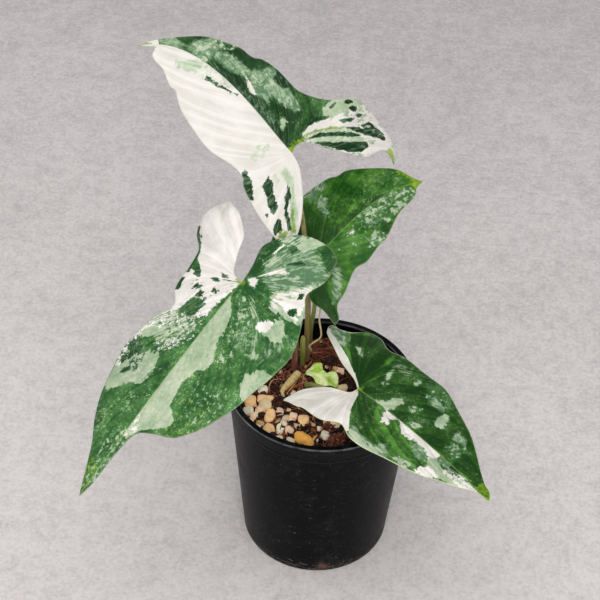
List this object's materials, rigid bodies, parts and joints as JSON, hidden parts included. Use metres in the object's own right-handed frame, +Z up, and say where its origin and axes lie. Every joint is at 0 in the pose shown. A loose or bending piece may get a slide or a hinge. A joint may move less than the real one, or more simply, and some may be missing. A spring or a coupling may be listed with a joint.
{
  "type": "potted arrowhead plant",
  "caption": "Young arrowhead plant with large white-splashed green leaves on long petioles, growing in a small round black nursery pot of bark and pebble mix.",
  "frame": {"origin": "centre of the pot's underside, where it rests", "axes": "+Z up along the pot's axis; -Y is the side the plant is usually seen from, with its longest leaf reaching to -X and its lowest leaf to +X"},
  "size_m": [0.2, 0.1933, 0.2609],
  "materials": {
    "pot_plastic": "matte black moulded plastic, dusty near its foot",
    "potting_mix": "damp dark mix with bark chips and pale pumice pebbles",
    "leaf": "satin green leaf splashed with cream white and grey green",
    "petiole": "smooth olive stem, reddish at its foot",
    "sheath": "satin olive sheath",
    "old_stem": "dry tan stem",
    "root": "dry cream root",
    "sprout": "crinkled pale lime leaf"
  },
  "bodies": {
    "root": {"pot": "pot_plastic", "potting_mix": "potting_mix", "sheath_stub": "sheath", "old_stem": "old_stem", "aerial_root": "root", "sprout": "sprout", "petiole_top": "petiole", "blade_top": "leaf", "petiole_middle": "petiole", "blade_middle": "leaf", "petiole_left": "petiole", "blade_left": "leaf", "petiole_right": "petiole", "blade_right": "leaf"}
  },
  "joints": []
}
